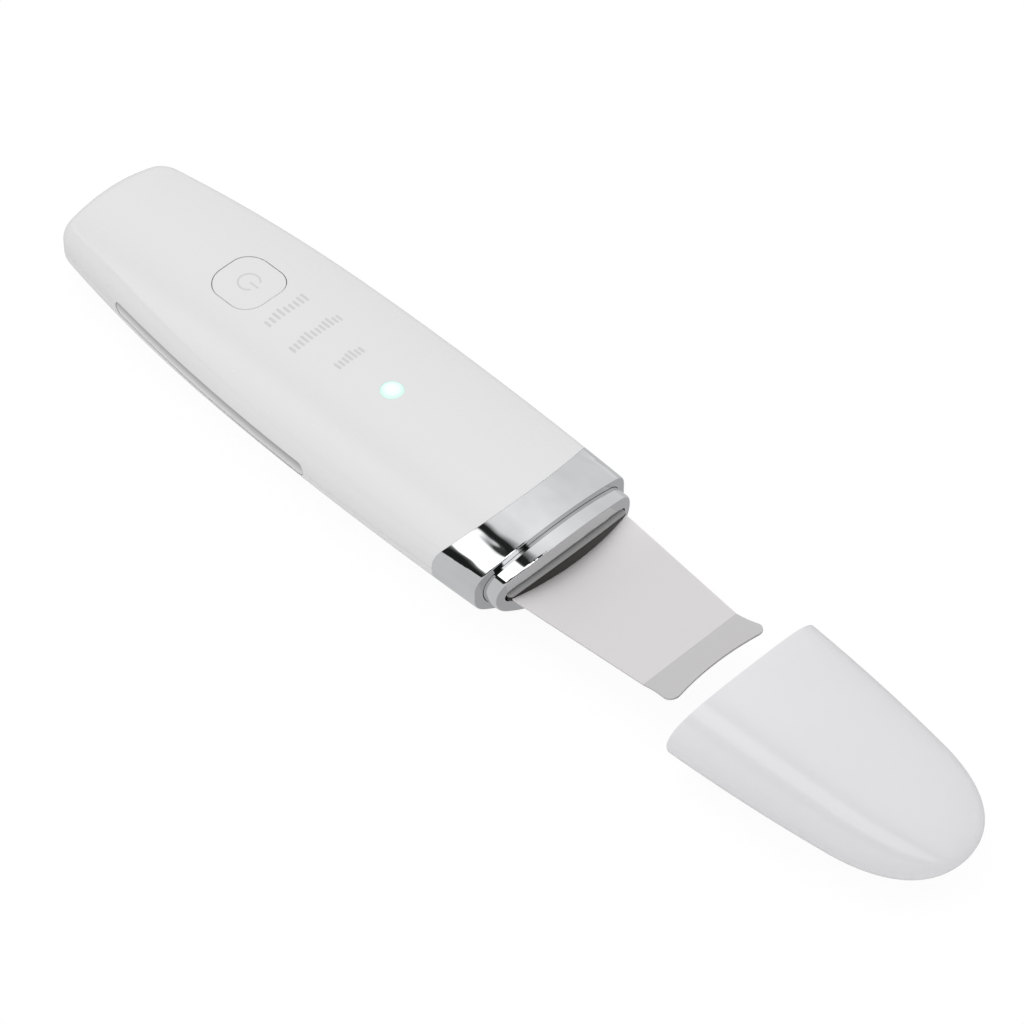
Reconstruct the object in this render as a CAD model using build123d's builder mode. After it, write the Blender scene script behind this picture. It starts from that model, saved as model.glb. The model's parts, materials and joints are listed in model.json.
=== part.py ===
from build123d import *
import os
from math import cos, radians, sin, sqrt

# Handheld ultrasonic skin scrubber: a flattened oval handle in two white covers, a chromed
# collar and nose ring at its front, a bent steel blade, the ultrasonic stack that drives the
# blade, the electronics behind it, and a domed cap that pulls off along the handle.
#
# Frame, in millimetres: +X towards the blade's tip, +Y across, +Z out of the button side.
# The origin is a point of the flat that the back rests on, 67.5 mm ahead of the tail.

os.makedirs("parts", exist_ok=True)

# ---------------------------------------------------------------- driving dimensions
# Handle form
TAIL_X = -67.5
MID_Z = 9.5
MAX_HALF_WIDTH = 23.1
WIDEST_X = 22.0
TAIL_SIDE_R, NOSE_SIDE_R = 515.0, 700.0
TAIL_END_R, TAIL_CORNER_R = 160.0, 6.0
MAX_HALF_HEIGHT = 9.9
THICKEST_X = -10.0
CROWN_R, TAIL_CROWN_R = 41.0, 600.0
EDGE_R = 4.4
FORM_END_X = 80.0

# Cutting blocks, larger than the handle on every side
BLOCK_HALF_SPAN = 26.0
BLOCK_BACK_X, BLOCK_FRONT_X = TAIL_X - 5, FORM_END_X
BLOCK_BOTTOM_Z, BLOCK_TOP_Z = -5.0, 30.0

# Shells
COVER_WALL = 2.0
SEAM_GAP = 0.06
WELD = 0.3
CLEARANCE = 0.05
LIP_GAP, LIP_WALL, LIP_ROOT, LIP_RISE = 0.06, 0.85, 3.0, 1.5
SPIGOT_START_X, SPIGOT_END_X = 53.0, 64.0
SPIGOT_INSET, SPIGOT_WALL = 1.1, 1.5
COLLAR_WALL = 1.0
COLLAR_BACK_X, COLLAR_BACK_R = 62.3, 52.0
COLLAR_FRONT_X, COLLAR_FRONT_R = 71.5, 90.0
COLLAR_LAND_X = 67.0
PART_LINE = 0.06

# Nose ring, seal and blade
RING_HALF_WIDTH, RING_HALF_HEIGHT, RING_SIDE_R = 19.4, 8.4, 5.0
RING_FRONT_X, RING_FRONT_R = 75.6, 68.0
RING_BACK_X, RING_LIP, RING_GAP, RING_WALL = 65.4, 0.2, 0.12, 1.5
RING_GASKET_LIP = 0.1
RING_POCKET_X, RING_EDGE_R, COLLAR_EDGE_R = 70.3, 0.45, 0.3
OPENING_HALF_WIDTH, OPENING_HALF_HEIGHT, OPENING_SIDE_R = 17.2, 4.4, 1.4
SEAL_HALF_WIDTH, SEAL_HALF_HEIGHT, SEAL_SIDE_R = 16.8, 4.1, 1.3
SEAL_FRONT_X, SEAL_FRONT_R = 76.6, 68.0
SEAL_BACK_X, SEAL_SHOULDER_R = 68.3, 1.2
BLADE_T = 0.4
BLADE_ROOT_HALF_WIDTH = 16.2
BLADE_CREASE_X, BLADE_CREASE_HALF_WIDTH = 108.9, 13.3
BLADE_TIP_LENGTH, BLADE_TIP_ANGLE = 9.1, 14.0
BLADE_TIP_HALF_WIDTH, BLADE_TIP_HOLLOW, BLADE_CORNER_R = 14.35, 1.8, 2.0
BLADE_TAPER_X, BLADE_FLARE_SAG, WEDGE_SINK = 76.0, 0.12, 0.01
TANG_HALF_WIDTH, TANG_BACK_X, TANG_FRONT_X = 7.5, 57.0, 67.4
TANG_SCREW_SPOTS, TANG_SCREW_SINK = ((61.5, 4.2), (61.5, -4.2)), 1.4

# Ultrasonic stack, along X at y = 0, z = MID_Z
HORN_R, HORN_BACK_X, HORN_SHOULDER_X, HORN_NOSE_X = 6.0, 42.0, 56.0, 67.0
HORN_NOSE_HALF_WIDTH, HORN_NOSE_HALF_HEIGHT, HORN_NOSE_CORNER_R = 8.0, 3.6, 1.5
FLANGE_R, FLANGE_BACK_X, FLANGE_T = 6.9, 48.0, 2.0
PIEZO_R, PIEZO_T, PIEZO_BORE_R = 6.2, 2.5, 2.4
ELECTRODE_T, TAB_REACH, TAB_LENGTH, TAB_WIDTH = 0.2, 2.4, 3.0, 1.6
BACK_MASS_T, BACK_MASS_CHAMFER = 8.0, 0.5
BOLT_R, BOLT_HEAD_R, BOLT_HEAD_T, BOLT_END_X, BOLT_END_GAP = 2.0, 3.5, 3.5, 52.0, 0.5
BOLT_SOCKET_R, BOLT_SOCKET_DEPTH = 1.7, 2.0
ISOLATOR_R, ISOLATOR_T = 7.2, 2.4
CRADLE_HALF_WIDTH = 12.0

# Board, switch, indicator and cell
BOARD_BOTTOM_Z, BOARD_T = 9.6, 1.2
BOARD_TOP_Z = BOARD_BOTTOM_Z + BOARD_T
BUTTON_X, BUTTON_SIZE, BUTTON_CORNER_R = -21.6, 14.0, 4.9
BUTTON_GAP, BUTTON_TRAVEL = 0.15, 0.45
BUTTON_FLANGE, BUTTON_FLANGE_T, BUTTON_FLANGE_BOTTOM_Z, BUTTON_EDGE_R = 1.1, 1.0, 15.3, 0.25
BUTTON_WALL, BUTTON_HOLLOW, BUTTON_POST_R = 1.5, 1.5, 2.5
SWITCH_SIZE, SWITCH_T, SWITCH_CHAMFER = 6.2, 3.4, 0.5
SWITCH_TOP_Z = BOARD_TOP_Z + SWITCH_T
PLUNGER_R, PLUNGER_WELL, PLUNGER_TOP_Z = 1.7, 1.6, 15.1
PLUNGER_LENGTH = PLUNGER_TOP_Z - SWITCH_TOP_Z + PLUNGER_WELL - BUTTON_TRAVEL - CLEARANCE
LENS_X, LENS_R, LENS_FLANGE_R, LENS_GAP = 22.3, 2.5, 3.2, 0.05
LENS_BOTTOM_Z, LENS_FLANGE_BOTTOM_Z, LENS_RISE = 12.8, 16.1, 0.6
LED_LENGTH, LED_WIDTH, LED_HEIGHT, LED_WINDOW_R, LED_WINDOW_DEPTH = 3.5, 2.8, 1.4, 1.2, 0.5
PORT_WIDTH, PORT_HEIGHT, PORT_DEPTH, PORT_BACK_X = 9.0, 3.2, 7.4, -59.8
PORT_MOUTH_X = PORT_BACK_X - PORT_DEPTH
PORT_CORNER_R, PORT_WALL, PORT_HOLLOW = 1.55, 0.3, 6.0
PORT_TONGUE_WIDTH, PORT_TONGUE_T, PORT_TONGUE_SINK = 6.7, 0.7, 1.0
PORT_GAP, PORT_CUT_DEPTH = 0.2, 9.0
BOARD_X0, BOARD_X1, BOARD_STEP_X, BOARD_STEP = -63.0, 24.6, -52.0, 4.0
BOARD_HALF_WIDTH, BOARD_TAIL_HALF_WIDTH = 15.3, 10.0
CHIP_SPOTS = (
    (-36.0, 6.0, 5.0, 4.0, 1.5),
    (-42.0, -6.5, 3.0, 3.0, 0.9),
    (12.0, 7.0, 5.0, 4.0, 1.5),
    (-34.0, -5.0, 2.0, 1.2, 0.7),
)
CORE_X, CORE_Y, CORE_SIZE, CORE_T, CORE_BASE_T = -2.0, 8.0, 8.0, 4.2, 0.9
CORE_WINDOW_X, CORE_WINDOW_WIDTH = 2.5, 1.6
WINDING_LENGTH, WINDING_WIDTH, WINDING_T, WINDING_CORNER_R = 6.4, 9.6, 2.8, 1.0
CAN_SPOTS_X, CAN_Y, CAN_R, CAN_LENGTH, CAN_EDGE_R = (5.0, 10.5), -12.5, 1.9, 6.5, 0.4
BOSS_SPOTS = ((-48.0, 10.0), (-48.0, -10.0), (19.5, 13.0), (19.5, -13.0))
BOSS_R, BOSS_HOLE_DEPTH = 2.3, 5.0
SCREW_R, SCREW_HEAD_R, SCREW_HEAD_T, SCREW_LENGTH = 1.0, 1.9, 1.3, 4.0
SCREW_SOCKET_R, SCREW_SOCKET_DEPTH, SCREW_CROSS, SCREW_CROSS_WIDTH = 0.7, 0.7, 2.2, 0.5
CELL_X0, CELL_X1, CELL_WIDTH, CELL_Z0, CELL_Z1 = -26.0, 17.0, 20.0, 3.6, 9.0
CELL_CORNER_R, CELL_EDGE_R, PAD_LENGTH, PAD_WIDTH = 1.2, 1.4, 28.0, 12.0
WIRE_R, WIRE_PULL, BATTERY_LEAD_Y, STACK_LEAD_Y = 0.5, 1.6, 3.0, 7.9

# Side contact strips
STRIP_X, STRIP_LENGTH, STRIP_WIDTH = -12.0, 63.0, 3.2
STRIP_SINK, STRIP_DEPTH, STRIP_GAP = 0.2, 1.2, 0.16
POST_R, POST_ROOT, POST_LENGTH = 0.8, 0.6, 3.0

# Cap, drawn pulled off along X; it seats CAP_TRAVEL further back
CAP_TRAVEL = 54.0
CAP_LENGTH, CAP_RIM_DIP = 57.5, 4.0
CAP_HALF_WIDTH, CAP_HALF_HEIGHT, CAP_WALL, CAP_TOP_WALL = 21.3, 9.75, 0.9, 1.1
CAP_SEATED_RIM_X = COLLAR_FRONT_X + 0.15
CAP_SHOULDER, CAP_WAIST = 0.66, 0.36
CAP_SHOULDER_WIDTH, CAP_WAIST_WIDTH = 0.82, 0.925
CAP_TURN_IN, CAP_SQUARENESS = 0.19, 0.5


# ---------------------------------------------------------------- shared shapes
def across(x):
    """Plane standing across the handle at x, its x running along Y and its y along Z."""
    return Plane(origin=(x, 0, MID_Z), x_dir=(0, 1, 0), z_dir=(1, 0, 0))


def oval(plane, half_width, half_height, side_r):
    """Four-arc oval: two round sides joined by two flatter crowns, tangent where they meet."""
    crown_r = ((half_width - side_r) ** 2 + half_height**2 - side_r**2) / (2 * (half_height - side_r))
    reach = crown_r / (crown_r - side_r)
    join_y = (half_width - side_r) * reach
    join_z = half_height - crown_r + (crown_r - half_height) * reach
    with BuildSketch(plane) as section:
        with BuildLine():
            ThreePointArc((-join_y, join_z), (0, half_height), (join_y, join_z))
            ThreePointArc((join_y, join_z), (half_width, 0), (join_y, -join_z))
            ThreePointArc((join_y, -join_z), (0, -half_height), (-join_y, -join_z))
            ThreePointArc((-join_y, -join_z), (-half_width, 0), (-join_y, join_z))
        make_face()
    return section.sketch


def half_width(x):
    """Half the handle's width at x, from the long arcs of its sides."""
    side_r = TAIL_SIDE_R if x < WIDEST_X else NOSE_SIDE_R
    return MAX_HALF_WIDTH - side_r + sqrt(side_r**2 - (x - WIDEST_X) ** 2)


def crown_half_height(y, inset=0.0):
    """Height of the front face above the middle plane at y, where the handle is thickest."""
    radius = CROWN_R - inset
    return MAX_HALF_HEIGHT - inset - radius + sqrt(radius**2 - y**2)


def plan_outline(inset):
    """Outline seen from the front: barrel sides and a rounded tail, square ahead of the nose."""
    tail_x = TAIL_X + inset
    corner_x = tail_x + half_width(tail_x) ** 2 / (2 * TAIL_END_R)
    with BuildSketch(Plane.XY.offset(BLOCK_BOTTOM_Z)) as outline:
        with BuildLine():
            for side in (1, -1):
                bend_x = (corner_x + WIDEST_X) / 2
                front_x = (FORM_END_X + WIDEST_X) / 2
                ThreePointArc(
                    (corner_x, side * (half_width(corner_x) - inset)),
                    (bend_x, side * (half_width(bend_x) - inset)),
                    (WIDEST_X, side * (MAX_HALF_WIDTH - inset)),
                )
                ThreePointArc(
                    (WIDEST_X, side * (MAX_HALF_WIDTH - inset)),
                    (front_x, side * (half_width(front_x) - inset)),
                    (FORM_END_X, side * (half_width(FORM_END_X) - inset)),
                )
            corner_y = half_width(corner_x) - inset
            front_y = half_width(FORM_END_X) - inset
            ThreePointArc((corner_x, -corner_y), (tail_x, 0), (corner_x, corner_y))
            Line((FORM_END_X, -front_y), (FORM_END_X, front_y))
        make_face()
        fillet(outline.vertices().sort_by(Axis.X)[:2], TAIL_CORNER_R - inset)
    return outline.sketch


def under_crown(inset):
    """Everything below the front face: straight towards the nose, on a long arc to the tail."""
    span = BLOCK_HALF_SPAN + 2
    with BuildPart() as bulk:
        with BuildSketch(across(THICKEST_X)) as section:
            with BuildLine():
                ThreePointArc(
                    (-span, crown_half_height(span, inset)),
                    (0, MAX_HALF_HEIGHT - inset),
                    (span, crown_half_height(span, inset)),
                )
                Polyline(
                    (span, crown_half_height(span, inset)),
                    (span, -BLOCK_TOP_Z),
                    (-span, -BLOCK_TOP_Z),
                    (-span, crown_half_height(span, inset)),
                )
            make_face()
        extrude(amount=FORM_END_X - THICKEST_X + 5)
        arc_axis = Axis((THICKEST_X, 0, MID_Z + MAX_HALF_HEIGHT - TAIL_CROWN_R), (0, -1, 0))
        revolve(section.sketch, axis=arc_axis, revolution_arc=7)
    return bulk.part


def handle_form(inset):
    """Solid of the handle's outer form, drawn in by inset all round and at the tail."""
    bulk = under_crown(inset)
    with BuildPart() as form:
        extrude(plan_outline(inset), amount=BLOCK_TOP_Z)
        add(bulk, mode=Mode.INTERSECT)
        add(mirror(bulk, about=Plane.XY.offset(MID_Z), mode=Mode.PRIVATE), mode=Mode.INTERSECT)
        rims = form.edges().filter_by(lambda edge: edge.bounding_box().size.X > 0.3)
        fillet(rims, EDGE_R - inset)
    return form.part


def slab(back_x, nose_x, nose_r):
    """Full-height block whose front is an arc in plan, bulging towards the blade."""
    side_x = nose_x - nose_r + sqrt(nose_r**2 - BLOCK_HALF_SPAN**2)
    with BuildPart() as block:
        with BuildSketch():
            with BuildLine():
                Polyline(
                    (side_x, BLOCK_HALF_SPAN),
                    (back_x, BLOCK_HALF_SPAN),
                    (back_x, -BLOCK_HALF_SPAN),
                    (side_x, -BLOCK_HALF_SPAN),
                )
                ThreePointArc((side_x, -BLOCK_HALF_SPAN), (nose_x, 0), (side_x, BLOCK_HALF_SPAN))
            make_face()
        extrude(amount=BLOCK_TOP_Z, both=True)
    return block.part


def box_between(x0, x1, z0, z1, half_span=BLOCK_HALF_SPAN):
    """Plain block from x0 to x1 and z0 to z1, centred on y = 0."""
    with BuildPart() as block:
        with BuildSketch(Plane.XY.offset(z0)):
            with Locations(((x0 + x1) / 2, 0)):
                Rectangle(x1 - x0, 2 * half_span)
        extrude(amount=z1 - z0)
    return block.part


def oval_bar(half_width, half_height, side_r, x0, x1, grow=0.0):
    """Straight bar of oval section from x0 to x1, its outline moved out by grow."""
    with BuildPart() as bar:
        extrude(oval(across(x0), half_width + grow, half_height + grow, side_r + grow), amount=x1 - x0)
    return bar.part


def ring_bar(x0, x1, grow=0.0):
    """Bar of the nose ring's own section, its outline moved out by grow."""
    return oval_bar(RING_HALF_WIDTH, RING_HALF_HEIGHT, RING_SIDE_R, x0, x1, grow)


def strip_slot(grow):
    """Two blocks the shape of the side strips' slots, one reaching out on each side."""
    with BuildPart() as slots:
        with BuildSketch(Plane(origin=(STRIP_X, 0, MID_Z), z_dir=(0, 1, 0), x_dir=(1, 0, 0))):
            SlotOverall(STRIP_LENGTH + 2 * grow, STRIP_WIDTH + 2 * grow)
        extrude(amount=BLOCK_HALF_SPAN, both=True)
    return slots.part


SKIN = handle_form(0)
CAVITY = handle_form(COVER_WALL)
UNDER_COVERS = handle_form(COVER_WALL + CLEARANCE)
ABOVE_REST = box_between(BLOCK_BACK_X, BLOCK_FRONT_X, 0, BLOCK_TOP_Z)
COVER_REACH = slab(BLOCK_BACK_X, COLLAR_BACK_X - PART_LINE, COLLAR_BACK_R)

# Ring of wall inside the collar that carries it, shared by the two covers.
with BuildPart() as spigot:
    add(handle_form(SPIGOT_INSET))
    add(handle_form(SPIGOT_INSET + SPIGOT_WALL), mode=Mode.SUBTRACT)
    add(
        box_between(SPIGOT_START_X, SPIGOT_END_X, BLOCK_BOTTOM_Z, BLOCK_TOP_Z),
        mode=Mode.INTERSECT,
    )

# Full shell of the covers before the seam parts it, with the cuts that cross the seam.
with BuildPart() as covers:
    add(SKIN)
    add(COVER_REACH, mode=Mode.INTERSECT)
    add(spigot.part)
    add(CAVITY, mode=Mode.SUBTRACT)
    add(ABOVE_REST, mode=Mode.INTERSECT)
COVER_SHELL = covers.part

with BuildPart() as port_cut:
    with BuildSketch(across(TAIL_X - 1)):
        RectangleRounded(PORT_WIDTH + 2 * PORT_GAP, PORT_HEIGHT + 2 * PORT_GAP, PORT_HEIGHT / 2)
    extrude(amount=PORT_CUT_DEPTH)

with BuildPart() as strip_cut:
    add(strip_slot(STRIP_GAP))
    add(handle_form(STRIP_DEPTH + STRIP_GAP), mode=Mode.SUBTRACT)
    with BuildSketch(Plane(origin=(STRIP_X, 0, MID_Z), z_dir=(0, 1, 0))):
        Circle(POST_R + STRIP_GAP)
    extrude(amount=BLOCK_HALF_SPAN, both=True)

# ---------------------------------------------------------------- covers
with BuildPart() as front_cover:
    add(COVER_SHELL)
    split(bisect_by=Plane.XY.offset(MID_Z + SEAM_GAP / 2), keep=Keep.TOP)
    add(strip_cut.part, mode=Mode.SUBTRACT)
    add(port_cut.part, mode=Mode.SUBTRACT)
    with BuildSketch(Plane.XY.offset(BUTTON_FLANGE_BOTTOM_Z)):
        with Locations((BUTTON_X, 0)):
            RectangleRounded(
                BUTTON_SIZE + 2 * BUTTON_GAP,
                BUTTON_SIZE + 2 * BUTTON_GAP,
                BUTTON_CORNER_R + BUTTON_GAP,
            )
        with Locations((LENS_X, 0)):
            Circle(LENS_R + LENS_GAP)
    extrude(amount=BLOCK_TOP_Z - BUTTON_FLANGE_BOTTOM_Z, mode=Mode.SUBTRACT)
front_cover.part.label = "front_cover"

with BuildPart() as lip_root:
    add(handle_form(COVER_WALL - WELD))
    add(handle_form(COVER_WALL + LIP_GAP + LIP_WALL), mode=Mode.SUBTRACT)
    add(
        box_between(TAIL_X, SPIGOT_START_X, MID_Z - LIP_ROOT, MID_Z - SEAM_GAP / 2),
        mode=Mode.INTERSECT,
    )

with BuildPart() as lip_rise:
    add(handle_form(COVER_WALL + LIP_GAP))
    add(handle_form(COVER_WALL + LIP_GAP + LIP_WALL), mode=Mode.SUBTRACT)
    add(
        box_between(TAIL_X, SPIGOT_START_X, MID_Z - SEAM_GAP / 2 - WELD, MID_Z + LIP_RISE),
        mode=Mode.INTERSECT,
    )

with BuildPart() as bosses:
    with BuildSketch():
        with Locations(*BOSS_SPOTS):
            Circle(BOSS_R)
    extrude(amount=BOARD_BOTTOM_Z)
    add(handle_form(COVER_WALL - WELD), mode=Mode.INTERSECT)

with BuildPart() as back_cover:
    add(COVER_SHELL)
    split(bisect_by=Plane.XY.offset(MID_Z - SEAM_GAP / 2), keep=Keep.BOTTOM)
    add(lip_root.part)
    add(lip_rise.part)
    add(bosses.part)
    with BuildSketch(Plane.XY.offset(BOARD_BOTTOM_Z)):
        with Locations(*BOSS_SPOTS):
            Circle(SCREW_R + CLEARANCE)
    extrude(amount=-BOSS_HOLE_DEPTH, mode=Mode.SUBTRACT)
    add(port_cut.part, mode=Mode.SUBTRACT)
    add(strip_cut.part, mode=Mode.SUBTRACT)
back_cover.part.label = "back_cover"

# ---------------------------------------------------------------- side contact strips
with BuildPart() as strips:
    add(handle_form(STRIP_SINK))
    add(handle_form(STRIP_DEPTH), mode=Mode.SUBTRACT)
    add(strip_slot(0), mode=Mode.INTERSECT)

with BuildPart() as left_electrode:
    add(strips.part)
    split(bisect_by=Plane.XZ, keep=Keep.TOP)
    with BuildSketch(Plane(origin=(STRIP_X, POST_ROOT - half_width(STRIP_X), MID_Z), z_dir=(0, 1, 0))):
        Circle(POST_R)
    extrude(amount=POST_LENGTH)
left_electrode.part.label = "left_electrode"

with BuildPart() as right_electrode:
    add(mirror(left_electrode.part, about=Plane.XZ, mode=Mode.PRIVATE))
right_electrode.part.label = "right_electrode"

# ---------------------------------------------------------------- chromed nose
with BuildPart() as collar_bore:
    add(handle_form(COLLAR_WALL))
    add(box_between(0, COLLAR_LAND_X, BLOCK_BOTTOM_Z, BLOCK_TOP_Z), mode=Mode.INTERSECT)

with BuildPart() as chrome_collar:
    add(SKIN)
    add(slab(BLOCK_BACK_X, COLLAR_BACK_X, COLLAR_BACK_R), mode=Mode.SUBTRACT)
    add(slab(BLOCK_BACK_X, COLLAR_FRONT_X, COLLAR_FRONT_R), mode=Mode.INTERSECT)
    add(ABOVE_REST, mode=Mode.INTERSECT)
    add(collar_bore.part, mode=Mode.SUBTRACT)
    front_rim = chrome_collar.faces().sort_by(Axis.X)[-1].outer_wire().edges()
    fillet(front_rim, COLLAR_EDGE_R)
    add(ring_bar(SPIGOT_START_X, BLOCK_FRONT_X, RING_GAP), mode=Mode.SUBTRACT)
chrome_collar.part.label = "chrome_collar"

with BuildPart() as nose_ring:
    add(ring_bar(RING_BACK_X, BLOCK_FRONT_X))
    add(slab(BLOCK_BACK_X, RING_FRONT_X, RING_FRONT_R), mode=Mode.INTERSECT)
    front_face = nose_ring.faces().sort_by(Axis.X)[-1]
    fillet(front_face.outer_wire().edges(), RING_EDGE_R)
    add(ring_bar(RING_BACK_X, COLLAR_LAND_X - CLEARANCE, RING_LIP))
    add(ring_bar(SPIGOT_START_X, RING_POCKET_X, -RING_WALL), mode=Mode.SUBTRACT)
    add(
        oval_bar(
            OPENING_HALF_WIDTH,
            OPENING_HALF_HEIGHT,
            OPENING_SIDE_R,
            SPIGOT_START_X,
            BLOCK_FRONT_X,
        ),
        mode=Mode.SUBTRACT,
    )
nose_ring.part.label = "nose_ring"

with BuildPart() as ring_gasket:
    add(ring_bar(SPIGOT_END_X, RING_BACK_X, RING_GASKET_LIP))
    add(ring_bar(SPIGOT_START_X, BLOCK_FRONT_X, -RING_WALL), mode=Mode.SUBTRACT)
ring_gasket.part.label = "ring_gasket"

with BuildPart() as blade_seal:
    add(oval_bar(SEAL_HALF_WIDTH, SEAL_HALF_HEIGHT, SEAL_SIDE_R, SEAL_BACK_X, BLOCK_FRONT_X))
    add(slab(BLOCK_BACK_X, SEAL_FRONT_X, SEAL_FRONT_R), mode=Mode.INTERSECT)
    fillet(blade_seal.faces().sort_by(Axis.X)[-1].outer_wire().edges(), SEAL_SHOULDER_R)
    add(ring_bar(SEAL_BACK_X, RING_POCKET_X - CLEARANCE, -RING_WALL - RING_GAP))
    with BuildSketch(across(SPIGOT_START_X)):
        Rectangle(2 * (BLADE_ROOT_HALF_WIDTH + CLEARANCE), BLADE_T + 2 * CLEARANCE)
    extrude(amount=BLOCK_FRONT_X - SPIGOT_START_X, mode=Mode.SUBTRACT)
blade_seal.part.label = "blade_seal"

# The blade is one sheet: a tang in the horn, a tapering flat, and a flared tip past the crease.
with BuildPart() as blade:
    with BuildSketch(Plane.XY.offset(MID_Z - BLADE_T / 2)) as flat:
        with BuildLine():
            Polyline(
                (TANG_BACK_X, TANG_HALF_WIDTH),
                (TANG_FRONT_X, TANG_HALF_WIDTH),
                (TANG_FRONT_X, BLADE_ROOT_HALF_WIDTH),
                (BLADE_TAPER_X, BLADE_ROOT_HALF_WIDTH),
                (BLADE_CREASE_X, BLADE_CREASE_HALF_WIDTH),
                (BLADE_CREASE_X, -BLADE_CREASE_HALF_WIDTH),
                (BLADE_TAPER_X, -BLADE_ROOT_HALF_WIDTH),
                (TANG_FRONT_X, -BLADE_ROOT_HALF_WIDTH),
                (TANG_FRONT_X, -TANG_HALF_WIDTH),
                (TANG_BACK_X, -TANG_HALF_WIDTH),
                close=True,
            )
        make_face()
        with Locations(*TANG_SCREW_SPOTS):
            Circle(SCREW_R + CLEARANCE, mode=Mode.SUBTRACT)
    extrude(amount=BLADE_T)
    tip_plane = Plane(
        origin=(BLADE_CREASE_X, 0, MID_Z - BLADE_T / 2),
        x_dir=(cos(radians(BLADE_TIP_ANGLE)), 0, sin(radians(BLADE_TIP_ANGLE))),
        z_dir=(-sin(radians(BLADE_TIP_ANGLE)), 0, cos(radians(BLADE_TIP_ANGLE))),
    )
    with BuildSketch(tip_plane) as tip:
        with BuildLine():
            for side in (1, -1):
                ThreePointArc(
                    (0, side * BLADE_CREASE_HALF_WIDTH),
                    (BLADE_TIP_LENGTH / 2, side * (BLADE_CREASE_HALF_WIDTH + BLADE_FLARE_SAG)),
                    (BLADE_TIP_LENGTH, side * BLADE_TIP_HALF_WIDTH),
                )
            ThreePointArc(
                (BLADE_TIP_LENGTH, -BLADE_TIP_HALF_WIDTH),
                (BLADE_TIP_LENGTH - BLADE_TIP_HOLLOW, 0),
                (BLADE_TIP_LENGTH, BLADE_TIP_HALF_WIDTH),
            )
            Line((0, -BLADE_CREASE_HALF_WIDTH), (0, BLADE_CREASE_HALF_WIDTH))
        make_face()
        fillet(tip.vertices().sort_by(Axis.X)[-2:], BLADE_CORNER_R)
    extrude(amount=BLADE_T)
    # Wedge under the crease that keeps the sheet's thickness through the bend.
    with BuildSketch(Plane.XZ.offset(-BLADE_CREASE_HALF_WIDTH)) as bend:
        with BuildLine():
            crease_top = MID_Z + BLADE_T / 2
            Polyline(
                (BLADE_CREASE_X, MID_Z - BLADE_T / 2),
                (BLADE_CREASE_X - BLADE_T * sin(radians(BLADE_TIP_ANGLE)), crease_top - WEDGE_SINK),
                (BLADE_CREASE_X, crease_top),
                close=True,
            )
        make_face()
    extrude(amount=2 * BLADE_CREASE_HALF_WIDTH)
blade.part.label = "blade"

# ---------------------------------------------------------------- ultrasonic stack
PIEZO_FRONT_X = HORN_BACK_X - ELECTRODE_T
STACK_PITCH = PIEZO_T + ELECTRODE_T
MASS_FRONT_X = HORN_BACK_X - 2 * STACK_PITCH - ELECTRODE_T
MASS_BACK_X = MASS_FRONT_X - BACK_MASS_T

with BuildPart() as horn:
    with BuildSketch(across(HORN_BACK_X)):
        Circle(HORN_R)
    extrude(amount=HORN_SHOULDER_X - HORN_BACK_X)
    with BuildSketch(across(FLANGE_BACK_X)):
        Circle(FLANGE_R)
    extrude(amount=FLANGE_T)
    with BuildSketch(across(HORN_SHOULDER_X)):
        RectangleRounded(2 * HORN_NOSE_HALF_WIDTH, 2 * HORN_NOSE_HALF_HEIGHT, HORN_NOSE_CORNER_R)
    extrude(amount=HORN_NOSE_X - HORN_SHOULDER_X)
    with BuildSketch(across(TANG_BACK_X - CLEARANCE)):
        Rectangle(2 * HORN_NOSE_HALF_WIDTH + 1, BLADE_T + CLEARANCE)
    extrude(amount=HORN_NOSE_X - TANG_BACK_X + 1, mode=Mode.SUBTRACT)
    with BuildSketch(across(HORN_BACK_X)):
        Circle(BOLT_R + CLEARANCE)
    extrude(amount=BOLT_END_X + BOLT_END_GAP - HORN_BACK_X, mode=Mode.SUBTRACT)
    with BuildSketch(Plane.XY.offset(MID_Z - HORN_NOSE_HALF_HEIGHT)):
        with Locations(*TANG_SCREW_SPOTS):
            Circle(SCREW_R + CLEARANCE)
    extrude(amount=2 * HORN_NOSE_HALF_HEIGHT, mode=Mode.SUBTRACT)
    with BuildSketch(Plane.XY.offset(MID_Z + HORN_NOSE_HALF_HEIGHT - TANG_SCREW_SINK)):
        with Locations(*TANG_SCREW_SPOTS):
            Circle(SCREW_HEAD_R + CLEARANCE)
    extrude(amount=TANG_SCREW_SINK, mode=Mode.SUBTRACT)
horn.part.label = "horn"

with BuildPart() as tang_screws:
    screw_top_z = MID_Z + HORN_NOSE_HALF_HEIGHT - TANG_SCREW_SINK
    with BuildSketch(Plane.XY.offset(MID_Z - HORN_NOSE_HALF_HEIGHT)):
        with Locations(*TANG_SCREW_SPOTS):
            Circle(SCREW_R)
    extrude(amount=2 * HORN_NOSE_HALF_HEIGHT - TANG_SCREW_SINK)
    with BuildSketch(Plane.XY.offset(screw_top_z)):
        with Locations(*TANG_SCREW_SPOTS):
            Circle(SCREW_HEAD_R)
    extrude(amount=TANG_SCREW_SINK)
    with BuildSketch(Plane.XY.offset(screw_top_z + TANG_SCREW_SINK)):
        with Locations(*TANG_SCREW_SPOTS):
            RegularPolygon(SCREW_SOCKET_R, 6)
    extrude(amount=-SCREW_SOCKET_DEPTH, mode=Mode.SUBTRACT)
tang_screws.part.label = "tang_screws"

with BuildPart() as piezo_rings:
    for x in (PIEZO_FRONT_X - PIEZO_T, PIEZO_FRONT_X - PIEZO_T - STACK_PITCH):
        with BuildSketch(across(x)):
            Circle(PIEZO_R)
            Circle(PIEZO_BORE_R, mode=Mode.SUBTRACT)
        extrude(amount=PIEZO_T)
piezo_rings.part.label = "piezo_rings"

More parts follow.
